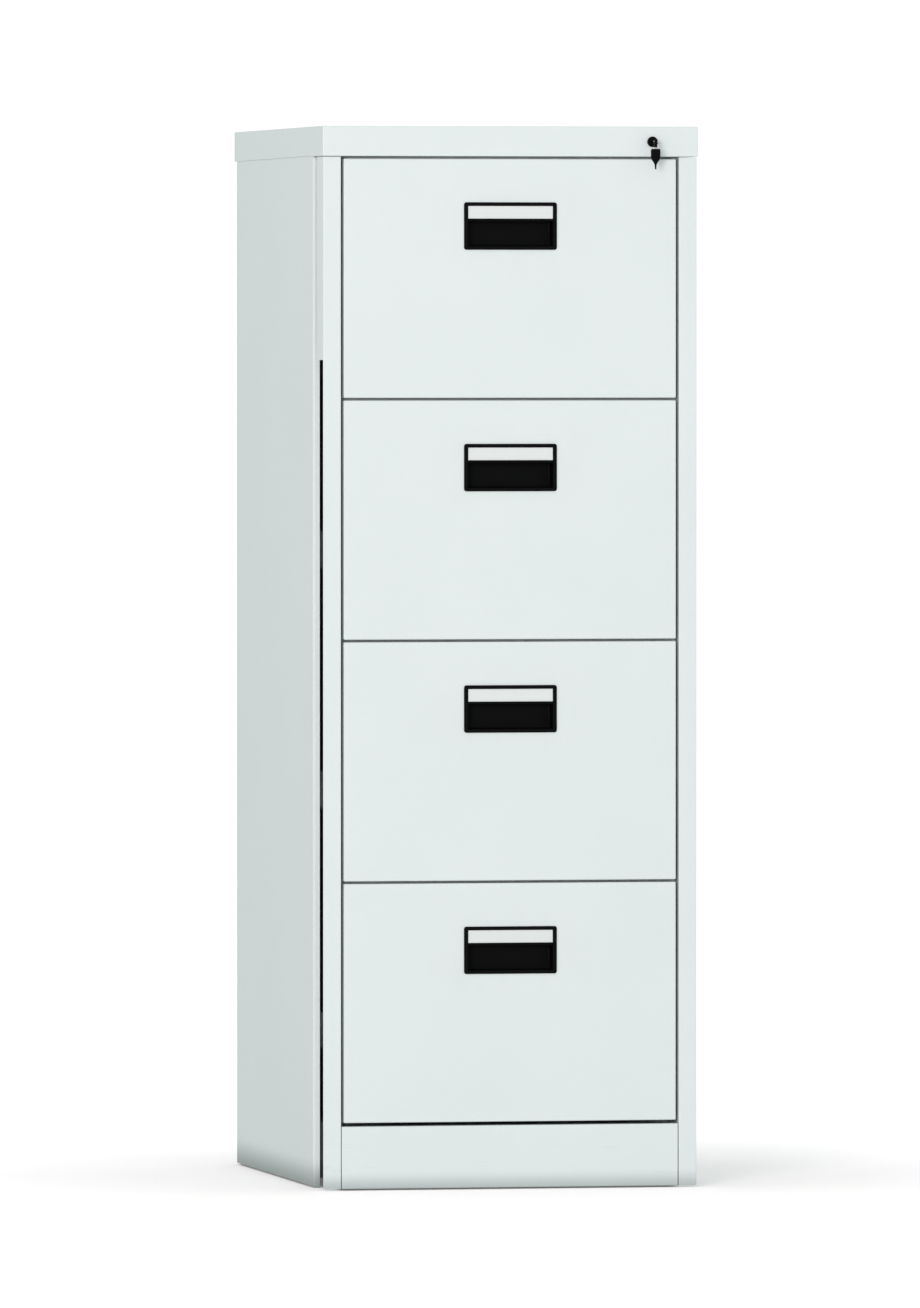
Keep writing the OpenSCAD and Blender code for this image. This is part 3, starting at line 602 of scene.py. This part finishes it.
for number in (1, 2, 3, 4):
    low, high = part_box(f"handle_{number}")
    front_y, face_y = low.y, low.y + frame_proud
    mouth_low, mouth_high = low.z + handle_rim, low.z + handle_rim + grip_h
    window_high = high.z - handle_rim
    window_low = window_high - window_h
    pull = box(low, (high.x, face_y, high.z))
    along_y = [e for e in pull.edges if abs((e.verts[0].co - e.verts[1].co).y) > 0.001]
    round_off(pull, along_y, frame_corner_r, 4)
    rim_front = [e for e in sharp(pull) if on_plane(e, 1, front_y)]
    round_off(pull, rim_front, frame_edge_r, 3)
    # The cup's outside, behind the drawer's face.
    back = facing(pull, BACK)
    bmesh.ops.inset_region(pull, faces=back, thickness=body_inset, use_even_offset=True)
    push(pull, back, (0, high.y - face_y, 0))
    # The window and the cup's mouth.
    for x in (-mouth_x, mouth_x):
        cut(pull, facing(pull, -BACK), (x, 0, 0), (1, 0, 0))
    for z in (mouth_low, mouth_high, window_low, window_high):
        middle = between(facing(pull, -BACK), (-mouth_x, low.y, low.z), (mouth_x, low.y, high.z))
        cut(pull, middle, (0, 0, z), UP)
    window = between(facing(pull, -BACK), (-mouth_x, low.y, window_low), (mouth_x, low.y, window_high))
    mouth = between(facing(pull, -BACK), (-mouth_x, low.y, mouth_low), (mouth_x, low.y, mouth_high))
    push(pull, window, (0, card_back, 0))
    deep = push(pull, mouth, (0, lip_t, 0))
    push(pull, deep, (0, cup_back + frame_proud - lip_t, 0))
    # Behind the lip the cup runs up to the frame's top.
    ceiling = [f for f in facing(pull, -UP) if abs(f.calc_center_median().z - mouth_high) < 1e-5
               and f.calc_center_median().y > front_y + lip_t]
    push(pull, ceiling, (0, 0, high.z - body_inset - cup_wall - mouth_high))
    rounded = [e for e in sharp(pull) if on_plane(e, 1, front_y) and abs(e.verts[0].co.x) < mouth_x + 1e-4
               and all(mouth_low - 1e-4 < v.co.z < mouth_high + 1e-4 for v in e.verts)]
    round_off(pull, rounded, mouth_edge_r, 3)
    inner = [e for e in sharp(pull) if on_plane(e, 1, face_y + cup_back)]
    round_off(pull, inner, cup_corner_r, 3)
    piece(f"handle_{number}_pull", pull, handle_black, f"drawer_{number}", "black_plastic",
          f"handle_{number}")
    card_y = front_y + card_back - card_lift
    card = box((-mouth_x + card_play, card_y - card_t, window_low + card_play),
               (mouth_x - card_play, card_y, window_high - card_play))
    piece(f"label_card_{number}_card", card, card_white, f"drawer_{number}", "white_card",
          f"label_card_{number}")


# ---- Lock and key ----
# A cam lock through the cover's skirt. Its housing, plug and key are blackened. The key folds
# on a small pin: its fork ends in a bright collar above a black bow that narrows to a tip.

def black_plate(name):
    """Blackened steel, a little glossier than the plastic."""
    plate = new_finish(name)
    place = plate.place()
    brushed = plate.noise(place, 900, 3.0, 0.6)
    tone = plate.blend(brushed, (0.0007, 0.0011, 0.0010, 1), (0.0020, 0.0025, 0.0024, 1))
    return plate.surface(Base_Color=tone, Roughness=0.30 + 0.15 * brushed,
                         Normal=plate.bump(brushed, 0.00001), Specular_IOR_Level=0.08)


def bright_metal(name, dark, light, dull, scale, along):
    """Plated steel: fine drawn lines, cloudy plating and small differences in gloss."""
    metal = new_finish(name)
    place = metal.place()
    lines = metal.noise(metal.stretched(place, *along), scale, 4.0, 0.6)
    clouds = metal.noise(place, 25, 4.0, 0.65)
    tone = metal.blend(clouds.fade(0.3, 0.7) * 0.7 + lines * 0.3, dark, light)
    rough = dull + 0.12 * clouds + 0.06 * lines
    return metal.surface(Base_Color=tone, Metallic=1.0, Roughness=rough, Normal=metal.bump(lines, 0.00001))


lock_black = black_plate("lock_black")
nickel = bright_metal("nickel_plate", (0.52, 0.50, 0.46, 1), (0.66, 0.64, 0.60, 1), 0.22, 500, (1, 1, 1))

bore_r, shank_r, collar_r = 0.00406, 0.0056, 0.0066
lock_section = [(bore_r, housing_low.y + 0.0003), (0.0044, housing_low.y), (shank_r, housing_low.y),
                (0.0062, housing_low.y + 0.0002), (collar_r, housing_low.y + 0.0008),
                (collar_r, cover_low.y), (shank_r, cover_low.y), (shank_r, housing_high.y),
                (bore_r, housing_high.y)]
housing = bmesh.new()
ring = [housing.verts.new((lock_x + r, y, lock_z)) for r, y in lock_section]
for pair in zip(ring, ring[1:] + ring[:1]):
    housing.edges.new(pair)
bmesh.ops.spin(housing, geom=housing.edges[:] + housing.verts[:], cent=(lock_x, 0, lock_z), axis=(0, 1, 0),
               angle=math.radians(360), steps=48, use_merge=True)
piece("lock_housing_turned", housing, lock_black, "carcass", "black_metal", "lock_housing")

pin_low, pin_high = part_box("key_pin")
pin_y, pin_z = (pin_low.y + pin_high.y) / 2, (pin_low.z + pin_high.z) / 2


def hung_block(half_w, half_t, top, bottom):
    """A block that hangs in line with the key's pin. Top and bottom count down from the pin."""
    return box((lock_x - half_w, pin_y - half_t, pin_z - bottom),
               (lock_x + half_w, pin_y + half_t, pin_z - top))


# Each step of the bow: how far below the pin it ends, half its width, and how much it thins.
bow_top, bow_neck_h = 0.0090, 0.0004
bow_half_w, bow_half_t = 0.0050, 0.0024
bow_steps = [(0.0105, 0.0057, 1), (0.0190, 0.0057, 1), (0.0225, 0.0048, 1), (0.0262, 0.0022, 0.72),
             (0.0290, 0.0011, 0.72), (0.0345, 0.0008, 0.72)]
last_drop, last_half = bow_top + bow_neck_h, bow_half_w
bow = hung_block(bow_half_w, bow_half_t, bow_top, last_drop)
bow_middle = Matrix.Translation((-lock_x, -pin_y, 0))
for drop, half_w, thinner in bow_steps:
    moved = push(bow, facing(bow, -UP), (0, 0, last_drop - drop))
    bmesh.ops.scale(bow, vec=(half_w / last_half, thinner, 1), space=bow_middle,
                    verts=list({v for f in moved for v in f.verts}))
    bow.normal_update()
    last_drop, last_half = drop, half_w
round_off(bow, sharp(bow, 0.9), 0.0004, 2)
piece("key_bow_moulding", bow, black_moulding("bow_black"), "key_bow", "black_plastic", "key_bow")

fork = hung_block(half_w=0.0019, half_t=0.0014, top=0.0042, bottom=0.0110)
fork_slot, cheek_rise = 0.0013, 0.0056
for x in (lock_x - fork_slot, lock_x + fork_slot):
    cut(fork, facing(fork, UP), (x, 0, 0), (1, 0, 0))
for cheek in [f for f in facing(fork, UP) if abs(f.calc_center_median().x - lock_x) > fork_slot]:
    push(fork, [cheek], (0, 0, cheek_rise))
round_off(fork, sharp(fork), 0.0002, 1)
piece("key_fork", fork, lock_black, "key_bow", "black_metal")
collar = hung_block(half_w=0.0023, half_t=0.0018, top=0.0071, bottom=0.0092)
round_off(collar, sharp(collar), 0.0003, 2)
piece("key_collar", collar, nickel, "key_bow", "nickel")


def dress(finish, *names, edge=0.0):
    """Gives CAD nodes a finish, and softens their edges by a small radius."""
    for name in names:
        node = cad_nodes[name]
        node.data.materials.clear()
        node.data.materials.append(finish)
        if edge:
            joined = node.modifiers.new("joined", "WELD")
            joined.merge_threshold = 0.00002
            softened = node.modifiers.new("softened", "BEVEL")
            softened.width = edge
            softened.segments = 2
            softened.limit_method = "ANGLE"
            softened.angle_limit = math.radians(50)
            even = node.modifiers.new("even_shading", "WEIGHTED_NORMAL")
            even.keep_sharp = True


dress(lock_black, "lock_plug", "key_blade")
dress(nickel, "key_pin")


# ---- Lock works and locking bar ----
# Behind the skirt a nut clamps the lock, and a cam on the plug's end drives a zinc plated bar
# that runs down behind the right stile in plastic guides, with a hook for each drawer.

zinc = bright_metal("zinc_plate", (0.46, 0.48, 0.50, 1), (0.62, 0.64, 0.66, 1), 0.30, 300, (1, 0.2, 1))
dress(zinc, "lock_nut", "lock_cam", "cam_screw", "back_screws")
dress(zinc, "lock_bar", edge=0.0003)
guide_black = black_moulding("guide_black")
dress(guide_black, "lock_bar_guides", edge=0.0004)


# ---- Body inside ----
# Coated pieces that show with a drawer open or from behind: the back sheet, the base pan, the
# rails across the opening and the fronts' liners. With them come the zinc plated slotted posts,
# the rubber buffers that the fronts close against, and the black glides under the base.

def rubber(name):
    """Dull black rubber with a dusty bloom."""
    soft = new_finish(name)
    place = soft.place()
    bloom = soft.noise(place, 180, 4.0, 0.6)
    tone = soft.blend(bloom.fade(0.4, 0.8), (0.012, 0.012, 0.012, 1), (0.035, 0.035, 0.034, 1))
    return soft.surface(Base_Color=tone, Roughness=0.75 + 0.2 * bloom, Normal=soft.bump(bloom, 0.00005),
                        Specular_IOR_Level=0.3)


dress(light_grey, "back_panel", "base_pan")
dress(light_grey, "front_liner_1", "front_liner_2", "front_liner_3", "front_liner_4")
dress(light_grey, "top_rail", "divider_rails", edge=0.0003)
dress(zinc, "uprights_left", "uprights_right")
dress(rubber("buffer_rubber"), "drawer_buffers")
dress(guide_black, "floor_glides")


# ---- Drawer trays ----
# Folded steel trays with high sides and a lower back, spot welded to the fronts, and zinc
# plated file rails along the sides whose lips carry hanging files.

back_h = 0.190
catch_up, catch_h, catch_t, catch_lap, catch_gap = 0.160, 0.014, 0.004, 0.0004, 0.001
bar_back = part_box("lock_bar")[1].y
for number in (1, 2, 3, 4):
    tray_low, tray_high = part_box(f"drawer_tray_{number}")
    side_x = -tray_low.x
    back_z = tray_low.z + back_h
    tray = box(tray_low, (side_x, tray_high.y, tray_high.z))
    remove(tray, facing(tray, UP) + facing(tray, -BACK))
    cut(tray, facing(tray, BACK), (0, 0, back_z), UP)
    above_back = (tray_low.x, tray_low.y, back_z)
    remove(tray, between(facing(tray, BACK), above_back, (side_x, tray_high.y, tray_high.z)))
    round_off(tray, sharp(tray), fold_r)
    give_wall(tray)
    # The catch that the bar's hook drops behind sits on the tray's right side.
    catch = bmesh.ops.create_cube(tray, size=1)["verts"]
    catch_low = Vector((side_x - catch_lap, bar_back + catch_gap,
                        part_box(f"drawer_front_{number}")[0].z + catch_up))
    catch_high = Vector((tray_high.x, catch_low.y + catch_t, catch_low.z + catch_h))
    bmesh.ops.scale(tray, vec=catch_high - catch_low, verts=catch)
    bmesh.ops.translate(tray, vec=(catch_low + catch_high) / 2, verts=catch)
    piece(f"drawer_tray_{number}_sheet", tray, light_grey, f"drawer_{number}", "painted_steel",
          f"drawer_tray_{number}")
    dress(zinc, f"file_rails_{number}", edge=0.0003)


# ---- Runners ----
# Telescopic ball runners of zinc plated strip: a wide channel in the cabinet, a middle member
# with its ball rows, and a narrow member welded to the tray.

drawn_zinc = bright_metal("drawn_zinc_strip", (0.42, 0.44, 0.46, 1), (0.60, 0.62, 0.64, 1), 0.26, 700,
                          (1, 0.05, 1))
dress(drawn_zinc, "runner_channels_left", "runner_channels_right")
for number in (1, 2, 3, 4):
    dress(drawn_zinc, f"middle_runners_{number}", f"drawer_runners_{number}")
